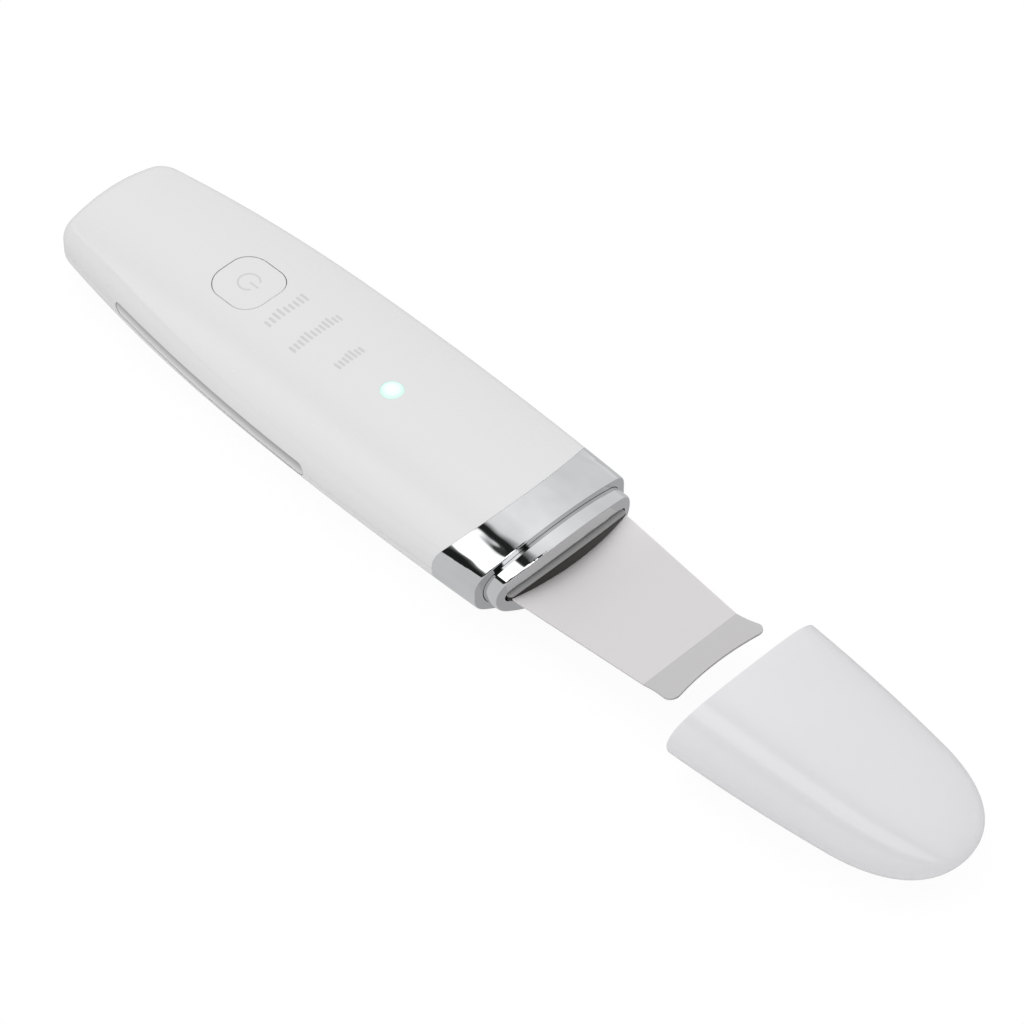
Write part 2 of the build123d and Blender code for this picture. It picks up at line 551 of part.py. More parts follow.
with BuildPart() as electrode_rings:
    for x, side in ((PIEZO_FRONT_X, 1), (PIEZO_FRONT_X - STACK_PITCH, -1), (MASS_FRONT_X, 1)):
        with BuildSketch(across(x)):
            Circle(PIEZO_R)
            with Locations((side * (PIEZO_R + TAB_REACH - TAB_LENGTH / 2), 0)):
                Rectangle(TAB_LENGTH, TAB_WIDTH)
            Circle(PIEZO_BORE_R, mode=Mode.SUBTRACT)
        extrude(amount=ELECTRODE_T)
electrode_rings.part.label = "electrode_rings"

with BuildPart() as back_mass:
    with BuildSketch(across(MASS_BACK_X)):
        Circle(PIEZO_R)
        Circle(BOLT_R + CLEARANCE, mode=Mode.SUBTRACT)
    extrude(amount=BACK_MASS_T)
    back_rims = back_mass.edges().filter_by(GeomType.CIRCLE).group_by(Axis.X)[0]
    chamfer(back_rims.sort_by(SortBy.RADIUS)[-1:], BACK_MASS_CHAMFER)
back_mass.part.label = "back_mass"

with BuildPart() as preload_bolt:
    with BuildSketch(across(MASS_BACK_X - BOLT_HEAD_T)):
        Circle(BOLT_HEAD_R)
    extrude(amount=BOLT_HEAD_T)
    with BuildSketch(across(MASS_BACK_X)):
        Circle(BOLT_R)
    extrude(amount=BOLT_END_X - MASS_BACK_X)
    with BuildSketch(across(MASS_BACK_X - BOLT_HEAD_T)):
        RegularPolygon(BOLT_SOCKET_R, 6)
    extrude(amount=BOLT_SOCKET_DEPTH, mode=Mode.SUBTRACT)
preload_bolt.part.label = "preload_bolt"

with BuildPart() as isolator_rings:
    for x in (FLANGE_BACK_X - ISOLATOR_T, FLANGE_BACK_X + FLANGE_T):
        with BuildSketch(across(x)):
            Circle(ISOLATOR_R)
            Circle(HORN_R, mode=Mode.SUBTRACT)
        extrude(amount=ISOLATOR_T)
isolator_rings.part.label = "isolator_rings"

with BuildPart() as cradle:
    cradle_back_x = FLANGE_BACK_X - ISOLATOR_T
    cradle_front_x = FLANGE_BACK_X + FLANGE_T + ISOLATOR_T
    add(
        box_between(
            cradle_back_x,
            cradle_front_x,
            BLOCK_BOTTOM_Z,
            BLOCK_TOP_Z,
            half_span=CRADLE_HALF_WIDTH,
        )
    )
    add(UNDER_COVERS, mode=Mode.INTERSECT)
    with BuildSketch(across(cradle_back_x)):
        Circle(ISOLATOR_R)
    extrude(amount=cradle_front_x - cradle_back_x, mode=Mode.SUBTRACT)
cradle.part.label = "cradle"

# ---------------------------------------------------------------- board and what it carries
with BuildPart() as main_board:
    with BuildSketch(Plane.XY.offset(BOARD_BOTTOM_Z)) as board_plan:
        with BuildLine():
            Polyline(
                (BOARD_X0, BOARD_TAIL_HALF_WIDTH),
                (BOARD_STEP_X, BOARD_TAIL_HALF_WIDTH),
                (BOARD_STEP_X + BOARD_STEP, BOARD_HALF_WIDTH),
                (BOARD_X1, BOARD_HALF_WIDTH),
                (BOARD_X1, -BOARD_HALF_WIDTH),
                (BOARD_STEP_X + BOARD_STEP, -BOARD_HALF_WIDTH),
                (BOARD_STEP_X, -BOARD_TAIL_HALF_WIDTH),
                (BOARD_X0, -BOARD_TAIL_HALF_WIDTH),
                close=True,
            )
        make_face()
        with Locations((PORT_BACK_X - PORT_DEPTH / 2, 0)):
            Rectangle(
                PORT_DEPTH + 2 * CLEARANCE,
                PORT_WIDTH + 2 * CLEARANCE,
                mode=Mode.SUBTRACT,
            )
        with Locations(*BOSS_SPOTS):
            Circle(SCREW_R + 2 * CLEARANCE, mode=Mode.SUBTRACT)
    extrude(amount=BOARD_T)
main_board.part.label = "main_board"

with BuildPart() as board_screws:
    with BuildSketch(Plane.XY.offset(BOARD_BOTTOM_Z - SCREW_LENGTH)):
        with Locations(*BOSS_SPOTS):
            Circle(SCREW_R)
    extrude(amount=SCREW_LENGTH + BOARD_T)
    with BuildSketch(Plane.XY.offset(BOARD_TOP_Z)):
        with Locations(*BOSS_SPOTS):
            Circle(SCREW_HEAD_R)
    extrude(amount=SCREW_HEAD_T)
    for boss_x, boss_y in BOSS_SPOTS:
        with BuildSketch(Plane.XY.offset(BOARD_TOP_Z + SCREW_HEAD_T)):
            with Locations((boss_x, boss_y)):
                Rectangle(SCREW_CROSS, SCREW_CROSS_WIDTH)
                Rectangle(SCREW_CROSS_WIDTH, SCREW_CROSS)
        extrude(amount=-SCREW_SOCKET_DEPTH, mode=Mode.SUBTRACT)
board_screws.part.label = "board_screws"

with BuildPart() as charging_socket:
    with BuildSketch(across(PORT_BACK_X)):
        RectangleRounded(PORT_WIDTH, PORT_HEIGHT, PORT_CORNER_R)
    extrude(amount=-PORT_DEPTH)
    with BuildSketch(across(PORT_MOUTH_X)):
        RectangleRounded(
            PORT_WIDTH - 2 * PORT_WALL,
            PORT_HEIGHT - 2 * PORT_WALL,
            PORT_CORNER_R - PORT_WALL,
        )
        Rectangle(PORT_TONGUE_WIDTH, PORT_TONGUE_T, mode=Mode.SUBTRACT)
    extrude(amount=PORT_HOLLOW, mode=Mode.SUBTRACT)
    with BuildSketch(across(PORT_MOUTH_X)):
        Rectangle(PORT_TONGUE_WIDTH + CLEARANCE, PORT_TONGUE_T + CLEARANCE)
    extrude(amount=PORT_TONGUE_SINK, mode=Mode.SUBTRACT)
charging_socket.part.label = "charging_socket"

with BuildPart() as switch_body:
    with BuildSketch(Plane.XY.offset(BOARD_TOP_Z)):
        with Locations((BUTTON_X, 0)):
            Rectangle(SWITCH_SIZE, SWITCH_SIZE)
    extrude(amount=SWITCH_T)
    chamfer(switch_body.edges().filter_by(Axis.Z), SWITCH_CHAMFER)
    with BuildSketch(Plane.XY.offset(SWITCH_TOP_Z)):
        with Locations((BUTTON_X, 0)):
            Circle(PLUNGER_R + CLEARANCE)
    extrude(amount=-PLUNGER_WELL, mode=Mode.SUBTRACT)
switch_body.part.label = "switch_body"

with BuildPart() as switch_plunger:
    with BuildSketch(Plane.XY.offset(SWITCH_TOP_Z - PLUNGER_WELL + BUTTON_TRAVEL + CLEARANCE)):
        with Locations((BUTTON_X, 0)):
            Circle(PLUNGER_R)
    extrude(amount=PLUNGER_LENGTH)
switch_plunger.part.label = "switch_plunger"

with BuildPart() as power_button:
    with BuildSketch(Plane.XY.offset(BUTTON_FLANGE_BOTTOM_Z)):
        with Locations((BUTTON_X, 0)):
            RectangleRounded(BUTTON_SIZE, BUTTON_SIZE, BUTTON_CORNER_R)
    extrude(amount=BLOCK_TOP_Z - BUTTON_FLANGE_BOTTOM_Z)
    add(SKIN, mode=Mode.INTERSECT)
    fillet(power_button.faces().sort_by(Axis.Z)[-1].outer_wire().edges(), BUTTON_EDGE_R)
    with BuildSketch(Plane.XY.offset(BUTTON_FLANGE_BOTTOM_Z)):
        with Locations((BUTTON_X, 0)):
            RectangleRounded(
                BUTTON_SIZE + 2 * BUTTON_FLANGE,
                BUTTON_SIZE + 2 * BUTTON_FLANGE,
                BUTTON_CORNER_R + BUTTON_FLANGE,
            )
    extrude(amount=BUTTON_FLANGE_T)
    with BuildSketch(Plane.XY.offset(BUTTON_FLANGE_BOTTOM_Z)):
        with Locations((BUTTON_X, 0)):
            RectangleRounded(
                BUTTON_SIZE - 2 * BUTTON_WALL,
                BUTTON_SIZE - 2 * BUTTON_WALL,
                BUTTON_CORNER_R - BUTTON_WALL,
            )
            Circle(BUTTON_POST_R, mode=Mode.SUBTRACT)
    extrude(amount=BUTTON_HOLLOW, mode=Mode.SUBTRACT)
    with BuildSketch(Plane.XY.offset(PLUNGER_TOP_Z)):
        with Locations((BUTTON_X, 0)):
            Circle(BUTTON_POST_R)
    extrude(amount=BUTTON_FLANGE_BOTTOM_Z - PLUNGER_TOP_Z)
power_button.part.label = "power_button"

with BuildPart() as lens_flange:
    with BuildSketch(Plane.XY.offset(LENS_FLANGE_BOTTOM_Z)):
        with Locations((LENS_X, 0)):
            Circle(LENS_FLANGE_R)
    extrude(amount=BLOCK_TOP_Z - LENS_FLANGE_BOTTOM_Z)
    add(UNDER_COVERS, mode=Mode.INTERSECT)

with BuildPart() as indicator_lens:
    rim_z = MID_Z + crown_half_height(LENS_R)
    with BuildSketch(Plane.XZ):
        with BuildLine():
            Polyline(
                (LENS_X, rim_z + LENS_RISE),
                (LENS_X, LENS_BOTTOM_Z),
                (LENS_X + LENS_R, LENS_BOTTOM_Z),
                (LENS_X + LENS_R, rim_z),
            )
            TangentArc((LENS_X, rim_z + LENS_RISE), (LENS_X + LENS_R, rim_z), tangent=(1, 0))
        make_face()
    revolve(axis=Axis((LENS_X, 0, 0), (0, 0, 1)))
    add(lens_flange.part)
indicator_lens.part.label = "indicator_lens"

with BuildPart() as status_led:
    with BuildSketch(Plane.XY.offset(BOARD_TOP_Z)):
        with Locations((LENS_X, 0)):
            Rectangle(LED_LENGTH, LED_WIDTH)
    extrude(amount=LED_HEIGHT)
    with BuildSketch(Plane.XY.offset(BOARD_TOP_Z + LED_HEIGHT)):
        with Locations((LENS_X, 0)):
            Circle(LED_WINDOW_R)
    extrude(amount=-LED_WINDOW_DEPTH, mode=Mode.SUBTRACT)
status_led.part.label = "status_led"

with BuildPart() as chips:
    for chip_x, chip_y, length, width, height in CHIP_SPOTS:
        with BuildSketch(Plane.XY.offset(BOARD_TOP_Z)):
            with Locations((chip_x, chip_y)):
                Rectangle(length, width)
        extrude(amount=height)
chips.part.label = "chips"

with BuildPart() as transformer_core:
    with BuildSketch(Plane.XY.offset(BOARD_TOP_Z)):
        with Locations((CORE_X, CORE_Y)):
            Rectangle(CORE_SIZE, CORE_SIZE)
            with Locations((-CORE_WINDOW_X, 0), (CORE_WINDOW_X, 0)):
                Rectangle(CORE_WINDOW_WIDTH, CORE_SIZE + 1, mode=Mode.SUBTRACT)
    extrude(amount=CORE_T)
    with BuildSketch(Plane.XY.offset(BOARD_TOP_Z)):
        with Locations((CORE_X, CORE_Y)):
            Rectangle(CORE_SIZE, CORE_SIZE)
    extrude(amount=CORE_BASE_T)
transformer_core.part.label = "transformer_core"

with BuildPart() as transformer_winding:
    with BuildSketch(Plane.XY.offset(BOARD_TOP_Z + CORE_BASE_T + CLEARANCE)):
        with Locations((CORE_X, CORE_Y)):
            RectangleRounded(WINDING_LENGTH, WINDING_WIDTH, WINDING_CORNER_R)
            Rectangle(
                2 * CORE_WINDOW_X - CORE_WINDOW_WIDTH + CLEARANCE,
                CORE_SIZE + 2 * CLEARANCE,
                mode=Mode.SUBTRACT,
            )
    extrude(amount=WINDING_T)
transformer_winding.part.label = "transformer_winding"

with BuildPart() as capacitors:
    for can_x in CAN_SPOTS_X:
        with BuildSketch(Plane(origin=(can_x, CAN_Y, BOARD_TOP_Z + CAN_R), z_dir=(0, 1, 0))):
            Circle(CAN_R)
        extrude(amount=CAN_LENGTH)
    fillet(capacitors.edges().filter_by(GeomType.CIRCLE), CAN_EDGE_R)
capacitors.part.label = "capacitors"

# ---------------------------------------------------------------- cell and wires
with BuildPart() as battery_cell:
    with BuildSketch(Plane.XY.offset(CELL_Z0)):
        with Locations(((CELL_X0 + CELL_X1) / 2, 0)):
            RectangleRounded(CELL_X1 - CELL_X0, CELL_WIDTH, CELL_CORNER_R)
    extrude(amount=CELL_Z1 - CELL_Z0)
    fillet(battery_cell.edges().filter_by(Axis.X), CELL_EDGE_R)
battery_cell.part.label = "battery_cell"

with BuildPart() as cell_pad:
    with BuildSketch(Plane.XY.offset(CELL_Z1)):
        with Locations(((CELL_X0 + CELL_X1) / 2, 0)):
            Rectangle(PAD_LENGTH, PAD_WIDTH)
    extrude(amount=BOARD_BOTTOM_Z - CELL_Z1)
cell_pad.part.label = "cell_pad"


def wire(start, middle, end, leaving, arriving):
    """Insulated lead of round section through three points, with its end directions."""
    with BuildPart() as lead:
        with BuildLine():
            Spline(
                start,
                middle,
                end,
                tangents=(leaving, arriving),
                tangent_scalars=(WIRE_PULL, WIRE_PULL),
            )
        with BuildSketch(Plane(origin=start, z_dir=leaving)):
            Circle(WIRE_R)
        sweep()
    return lead.part


with BuildPart() as battery_leads:
    for side in (1, -1):
        lead_y = side * BATTERY_LEAD_Y
        start = (CELL_X0, lead_y, (CELL_Z0 + CELL_Z1) / 2)
        middle = (CELL_X0 - 4.5, lead_y, 7.0)
        end = (CELL_X0 - 7, lead_y, BOARD_BOTTOM_Z)
        add(wire(start, middle, end, (-1, 0, 0), (0, 0, 1)))
battery_leads.part.label = "battery_leads"

with BuildPart() as stack_leads:
    for x, side in ((MASS_FRONT_X, 1), (PIEZO_FRONT_X - STACK_PITCH, -1)):
        start = (x, side * STACK_LEAD_Y, MID_Z)
        middle = (BOARD_X1 + 3, side * (STACK_LEAD_Y + 0.4), MID_Z + 2.4)
        end = (BOARD_X1 - 2.5, side * STACK_LEAD_Y, BOARD_TOP_Z)
        add(wire(start, middle, end, (-1, 0, 0), (0, 0, -1)))
stack_leads.part.label = "stack_leads"

with BuildPart() as contact_leads:
    for side in (1, -1):
        start = (STRIP_X, side * (half_width(STRIP_X) - POST_ROOT - POST_LENGTH), MID_Z)
        middle = (STRIP_X + 1.5, side * (BOARD_HALF_WIDTH + 1.3), MID_Z + 2.3)
        end = (STRIP_X + 4, side * (BOARD_HALF_WIDTH - 1.3), BOARD_TOP_Z)
        add(wire(start, middle, end, (0, -side, 0), (0, 0, -1)))
contact_leads.part.label = "contact_leads"

# ---------------------------------------------------------------- cap
def dome(half_width_at_rim, half_height_at_rim, rim_x, top_x):
    """Domed oval cap form: its side outline turned about the handle's axis, then flattened."""
    length = top_x - rim_x
    with BuildPart() as form:
        with BuildSketch(Plane.XY) as profile:
            with BuildLine():
                side = ThreePointArc(
                    (rim_x, half_width_at_rim),
                    (rim_x + CAP_WAIST * length, CAP_WAIST_WIDTH * half_width_at_rim),
                    (rim_x + CAP_SHOULDER * length, CAP_SHOULDER_WIDTH * half_width_at_rim),
                )
                turn_in = side @ 1 + (side % 1) * CAP_TURN_IN * length
                square_in = (top_x, CAP_SQUARENESS * half_width_at_rim)
                Bezier(side @ 1, turn_in, square_in, (top_x, 0))
                Polyline((top_x, 0), (rim_x, 0), (rim_x, half_width_at_rim))
            make_face()
        revolve(profile.sketch, axis=Axis.X)
        scale(by=(1, 1, half_height_at_rim / half_width_at_rim))
    return form.part


CAP_RIM_X = CAP_SEATED_RIM_X + CAP_TRAVEL
CAP_BLANK_X = CAP_RIM_X - CAP_RIM_DIP
CAP_TOP_X = CAP_RIM_X + CAP_LENGTH

with BuildPart() as cap:
    add(dome(CAP_HALF_WIDTH, CAP_HALF_HEIGHT, CAP_BLANK_X, CAP_TOP_X))
    add(
        dome(
            CAP_HALF_WIDTH - CAP_WALL,
            CAP_HALF_HEIGHT - CAP_WALL,
            CAP_BLANK_X - CLEARANCE,
            CAP_TOP_X - CAP_TOP_WALL,
        ),
        mode=Mode.SUBTRACT,
    )
    add(slab(COLLAR_FRONT_X, CAP_RIM_X, COLLAR_FRONT_R), mode=Mode.SUBTRACT)
cap.part.position = (0, 0, MID_Z)
cap.part.label = "cap"

PIECES = (
    front_cover, back_cover, left_electrode, right_electrode, chrome_collar, nose_ring,
    ring_gasket, blade_seal, blade, horn, tang_screws, piezo_rings, electrode_rings, back_mass,
    preload_bolt, isolator_rings, cradle, main_board, board_screws, charging_socket, switch_body,
    switch_plunger, power_button, indicator_lens, status_led, chips, transformer_core,
    transformer_winding, capacitors, battery_cell, cell_pad, battery_leads, stack_leads,
    contact_leads, cap,
)
for piece in PIECES:
    export_step(piece.part, f"parts/{piece.part.label}.step")
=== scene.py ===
"""Looks for the handheld skin scrubber: studio, camera, procedural materials, printed marks."""
import bmesh
import bpy
import json
from math import cos, hypot, pi, radians, sin
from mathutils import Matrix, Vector
from mathutils.bvhtree import BVHTree


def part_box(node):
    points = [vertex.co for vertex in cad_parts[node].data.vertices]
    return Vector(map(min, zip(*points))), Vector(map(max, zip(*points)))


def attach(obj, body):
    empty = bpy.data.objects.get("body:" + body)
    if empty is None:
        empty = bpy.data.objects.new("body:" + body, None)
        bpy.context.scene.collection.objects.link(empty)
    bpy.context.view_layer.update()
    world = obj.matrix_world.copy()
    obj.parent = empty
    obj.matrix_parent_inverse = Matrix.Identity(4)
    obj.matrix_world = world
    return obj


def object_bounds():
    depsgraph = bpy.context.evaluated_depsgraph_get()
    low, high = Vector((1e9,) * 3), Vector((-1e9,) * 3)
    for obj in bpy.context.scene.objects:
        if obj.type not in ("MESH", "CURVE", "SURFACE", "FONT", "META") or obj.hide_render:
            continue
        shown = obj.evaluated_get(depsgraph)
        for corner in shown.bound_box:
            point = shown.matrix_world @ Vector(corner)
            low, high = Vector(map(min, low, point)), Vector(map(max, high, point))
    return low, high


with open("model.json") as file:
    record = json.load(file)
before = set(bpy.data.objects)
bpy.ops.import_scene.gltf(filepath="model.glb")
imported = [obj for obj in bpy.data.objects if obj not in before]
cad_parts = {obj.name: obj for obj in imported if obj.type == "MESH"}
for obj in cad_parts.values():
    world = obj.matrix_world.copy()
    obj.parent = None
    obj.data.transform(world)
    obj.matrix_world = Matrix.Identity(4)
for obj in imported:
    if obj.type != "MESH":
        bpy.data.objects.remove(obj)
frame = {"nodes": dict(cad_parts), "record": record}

CAD_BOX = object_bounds()
MM = 0.001

# ---------------------------------------------------------------- places taken from the frame
BUTTON_LO, BUTTON_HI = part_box("power_button")
LENS_LO, LENS_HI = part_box("indicator_lens")
STRIP_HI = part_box("left_electrode")[1]
# depth and fade of the painted shadow line along the strip's top edge, under the front cover's edge
STRIP_SHADOW_DEPTH, STRIP_SHADOW_FADE = 0.16 * MM, 0.08 * MM
BUTTON_X = (BUTTON_LO.x + BUTTON_HI.x) / 2
LENS_X = (LENS_LO.x + LENS_HI.x) / 2
LENS_R = 2.5 * MM
BLADE_ROOT_X, BLADE_ROOT_FADE, CREASE_X = 76.6 * MM, 9 * MM, 108.9 * MM

# ---------------------------------------------------------------- tones of the outside
WHITE = (0.765, 0.765, 0.765)
SHELL_ROUGHNESS, BUTTON_ROUGHNESS = 0.27, 0.30
# the chrome front tone is painted shade for faces that mirror the shaded table below
CHROME_TONES, CHROME_FRONT_SHADE_TONE = ((0.80, 0.81, 0.82), (0.86, 0.87, 0.88)), (0.56, 0.56, 0.57)
# the blade root tone is painted light that brightens the sheet by the seal against the shade the
# ring and seal cast
BLADE_TONE, BLADE_ROOT_LIGHT_TONE = (0.79, 0.775, 0.775), (0.87, 0.855, 0.855)
# the blade tip tone is painted shade for the tip bent up past the crease
BLADE_TIP_SHADE_TONE = (0.67, 0.66, 0.665)
# tone of the painted shadow line on the strip's top edge
STRIP_SHADOW_TONE = (0.3, 0.3, 0.3)
SEAL_SPECKLE = 0.06
# seal tones by how far a face turns up: dark front, then a painted highlight on the shoulder and
# top
SEAL_SHADING_TONES = (
    (0.30, (0.016, 0.013, 0.012)),
    (0.52, (0.34, 0.34, 0.338)),
    (0.95, (0.26, 0.26, 0.26)),
)
CAP_TONES = ((0.88, 0.876, 0.893), (0.895, 0.89, 0.905))
CAP_THROUGH, CAP_THROUGH_TONE = 0.22, (0.94, 0.935, 0.95)
LENS_BODY, LENS_STRENGTH = (0.36, 0.42, 0.39, 1.0), 0.62
LENS_GLOW = ((0.0, (1.0, 1.0, 1.0)), (0.6, (0.88, 1.0, 0.96)), (1.0, (0.5, 0.97, 0.82)))
SYMBOL_INK, MARK_INK = (0.66, 0.66, 0.66), (0.65, 0.65, 0.65)

# ---------------------------------------------------------------- node helpers


def fill_ramp(ramp, stops):
    """Puts (position, colour) stops on a colour ramp; a bare number is a grey."""
    marks = ramp.elements
    marks.remove(marks[1])
    marks[0].position = stops[0][0]
    for i, (position, colour) in enumerate(stops):
        mark = marks.new(position) if i else marks[0]
        mark.color = (*colour, 1.0) if isinstance(colour, tuple) else (colour, colour, colour, 1.0)


class Shader:
    """A material being built: its node tree, its Principled shader, and short ways to add nodes."""

    def __init__(self, name):
        self.material = bpy.data.materials.new(name)
        self.material.use_nodes = True
        self.tree = self.material.node_tree
        self.bsdf = self.tree.nodes["Principled BSDF"]
        self.output = self.tree.nodes["Material Output"]
        self.place = self.tree.nodes.new("ShaderNodeTexCoord").outputs["Object"]

    def node(self, kind, inputs=(), **settings):
        made = self.tree.nodes.new(kind)
        for key, value in settings.items():
            setattr(made, key, value)
        for key, value in dict(inputs).items():
            self.feed(made.inputs[key], value)
        return made

    def feed(self, socket, value):
        if isinstance(value, bpy.types.NodeSocket):
            self.tree.links.new(value, socket)
        else:
            socket.default_value = value

    def set(self, **values):
        """Feeds the Principled inputs, named with underscores for spaces."""
        for key, value in values.items():
            self.feed(self.bsdf.inputs[key.replace("_", " ")], value)
        return self

    def math(self, operation, a, b=0.0):
        made = self.node("ShaderNodeMath", operation=operation)
        self.feed(made.inputs[0], a)
        self.feed(made.inputs[1], b)
        return made.outputs[0]

    def axes(self, vector=None):
        """The x, y and z of a vector, the place on the piece if none is given."""
        return self.node("ShaderNodeSeparateXYZ", {"Vector": vector or self.place}).outputs

    def stretched(self, scale):
        return self.node("ShaderNodeMapping", {"Vector": self.place, "Scale": scale}).outputs[0]

    def noise(self, scale, detail=2.0, vector=None, rough=0.5):
        inputs = {"Scale": scale, "Detail": detail, "Roughness": rough}
        inputs["Vector"] = vector or self.place
        return self.node("ShaderNodeTexNoise", inputs).outputs["Fac"]

    def ramp(self, value, *stops, smooth=False):
        """Colour ramp through (position, colour) stops; a bare number is a grey."""
        made = self.node("ShaderNodeValToRGB", {"Fac": value})
        if smooth:
            made.color_ramp.interpolation = "EASE"
        fill_ramp(made.color_ramp, stops)
        return made.outputs["Color"]

    def mix(self, factor, first, second):
        """Blend of two colours or colour sockets by a factor."""
        made = self.node("ShaderNodeMix", data_type="RGBA")
        self.feed(made.inputs["Factor"], factor)
        for socket, colour in ((made.inputs[6], first), (made.inputs[7], second)):
            self.feed(socket, (*colour, 1.0) if isinstance(colour, tuple) else colour)
        return made.outputs[2]

    def between(self, value, low, high):
        """Maps a 0 to 1 value to the range low to high."""
        inputs = {"Value": value, "To Min": low, "To Max": high}
        return self.node("ShaderNodeMapRange", inputs).outputs["Result"]

    def wave(self, scale, distortion, **settings):
        inputs = {"Vector": self.place, "Scale": scale, "Distortion": distortion}
        return self.node("ShaderNodeTexWave", inputs, **settings).outputs["Fac"]

    def mix_shaders(self, factor, first, second):
        made = self.node("ShaderNodeMixShader", {"Fac": factor})
        self.feed(made.inputs[1], first)
        self.feed(made.inputs[2], second)
        return made.outputs[0]

    def glow(self, colour):
        return self.node("ShaderNodeEmission", {"Color": (*colour, 1.0)}).outputs[0]

    def facing(self):
        """The x, y and z of the surface's normal."""
        return self.axes(self.node("ShaderNodeNewGeometry").outputs["Normal"])

    def bump(self, *layers):
        """Stacks (height, strength, distance) layers into the shader's normal."""
        normal = None
        for height, strength, distance in layers:
            inputs = {"Height": height, "Strength": strength, "Distance": distance}
            if normal is not None:
                inputs["Normal"] = normal
            normal = self.node("ShaderNodeBump", inputs).outputs["Normal"]
        return self.set(Normal=normal)


# ---------------------------------------------------------------- materials of the outside
def gloss_white(name, colour, rough):
    """Moulded gloss plastic: a faint drift of tone and polish under a thin clear gloss."""
    made = Shader(name)
    drift = made.noise(1400.0, 3.0)
    tint = made.ramp(drift, (0.2, tuple(c * 0.995 for c in colour)), (0.8, colour))
    made.set(Base_Color=tint, Coat_Weight=0.25, Coat_Roughness=0.15, IOR=1.49)
    made.set(Roughness=made.between(drift, rough - 0.01, rough + 0.01))
    made.bump((made.noise(1800.0, 1.0), 0.02, 0.01 * MM))
    return made.material


def chrome():
    """Plated plastic: mirror finish over the moulding's uneven swell, with painted shade on front
    faces as a painted reflection of the shaded table they mirror.
    """
    made = Shader("chrome")
    haze = made.noise(900.0, 3.0)
    swell = made.noise(1.0, 1.0, made.stretched((110.0, 210.0, 210.0)), 0.5)
    plate = made.ramp(made.noise(160.0, 3.0), (0.3, CHROME_TONES[0]), (0.7, CHROME_TONES[1]))
    # painted shade: faces turned towards the blade get a darker tone, a painted reflection of the
    # shaded table
    front_shade = made.ramp(made.facing()[0], (0.8, 0.0), (0.93, 1.0))
    tone = made.mix(front_shade, plate, CHROME_FRONT_SHADE_TONE)
    made.set(Base_Color=tone, Metallic=1.0, Roughness=made.between(haze, 0.012, 0.035))
    made.bump((swell, 1.0, 0.13 * MM))
    return made.material


def blade_steel():
    """Satin stainless sheet: fine grain along the blade, painted light towards the seal against the
    shade there, and painted shade past the crease on the bent tip.
    """
    made = Shader("blade_steel")
    grain = made.noise(1.0, 4.0, made.stretched((120.0, 5200.0, 800.0)), 0.65)
    along = made.axes()[0]
    # painted shade: past the crease the bent tip is painted darker for its turned angle
    shaded_tip = made.math("GREATER_THAN", along, CREASE_X)
    # painted light: the sheet brightens towards the seal to cancel the shade that the ring and seal
    # throw on it
    fade = ((BLADE_ROOT_X, BLADE_ROOT_LIGHT_TONE), (BLADE_ROOT_X + BLADE_ROOT_FADE, BLADE_TONE))
    root_lightened = made.ramp(along, *fade, smooth=True)
    made.set(Base_Color=made.mix(shaded_tip, root_lightened, BLADE_TIP_SHADE_TONE), Metallic=0.6)
    made.set(Roughness=made.between(grain, 0.42, 0.5))
    made.bump((grain, 0.05, 0.004 * MM))
    return made.material


def dark_seal():
    """Dark brown-grey moulded seal with a painted highlight where it faces up, its edge broken by
    speckle.
    """
    made = Shader("dark_seal")
    speckle = made.noise(900.0, 5.0)
    # painted highlight: faces turned up are painted lighter, jittered by the speckle
    upward_highlight = made.math("ADD", made.facing()[2], made.math("MULTIPLY", speckle, SEAL_SPECKLE))
    made.set(Base_Color=made.ramp(upward_highlight, *SEAL_SHADING_TONES), Specular_IOR_Level=0.25)
    made.set(Roughness=made.between(speckle, 0.3, 0.4))
    made.bump((made.noise(1500.0, 3.0), 0.08, 0.01 * MM))
    return made.material


def contact_metal():
    """Satin aluminium contact strip, brushed along its length, with a painted shadow line along its
    upper edge under the cover's edge.
    """
    made = Shader("contact_metal")
    grain = made.noise(1.0, 4.0, made.stretched((60.0, 4000.0, 5200.0)), 0.7)
    brushed = made.ramp(grain, (0.3, (0.9, 0.9, 0.9)), (0.7, (0.97, 0.97, 0.97)))
    # painted shadow: the strip darkens along its top edge, where the front cover's edge shades it
    shadow_z = STRIP_HI.z - STRIP_SHADOW_DEPTH
    edge_shadow = made.ramp(made.axes()[2], (shadow_z, 0.0), (shadow_z + STRIP_SHADOW_FADE, 1.0))
    made.set(Base_Color=made.mix(edge_shadow, brushed, STRIP_SHADOW_TONE))
    made.set(Metallic=0.35, Roughness=made.between(grain, 0.3, 0.42))
    made.bump((grain, 0.1, 0.006 * MM))
    return made.material


def cap_plastic():
    """Milky gloss cap: a thin bright wall that lets a little light through."""
    made = Shader("cap_plastic")
    tint = made.ramp(made.noise(30.0, 2.0), (0.3, CAP_TONES[0]), (0.7, CAP_TONES[1]))
    made.set(Base_Color=tint, Coat_Weight=0.6, Coat_Roughness=0.06, IOR=1.5)
    made.set(Roughness=made.between(made.noise(140.0, 3.0), 0.16, 0.24))
    made.bump((made.noise(380.0, 1.0), 0.04, 0.03 * MM))
    through = made.node("ShaderNodeBsdfTranslucent", {"Color": (*CAP_THROUGH_TONE, 1.0)})
    mixed = made.mix_shaders(CAP_THROUGH, made.bsdf.outputs[0], through.outputs[0])
    made.feed(made.output.inputs["Surface"], mixed)
    return made.material


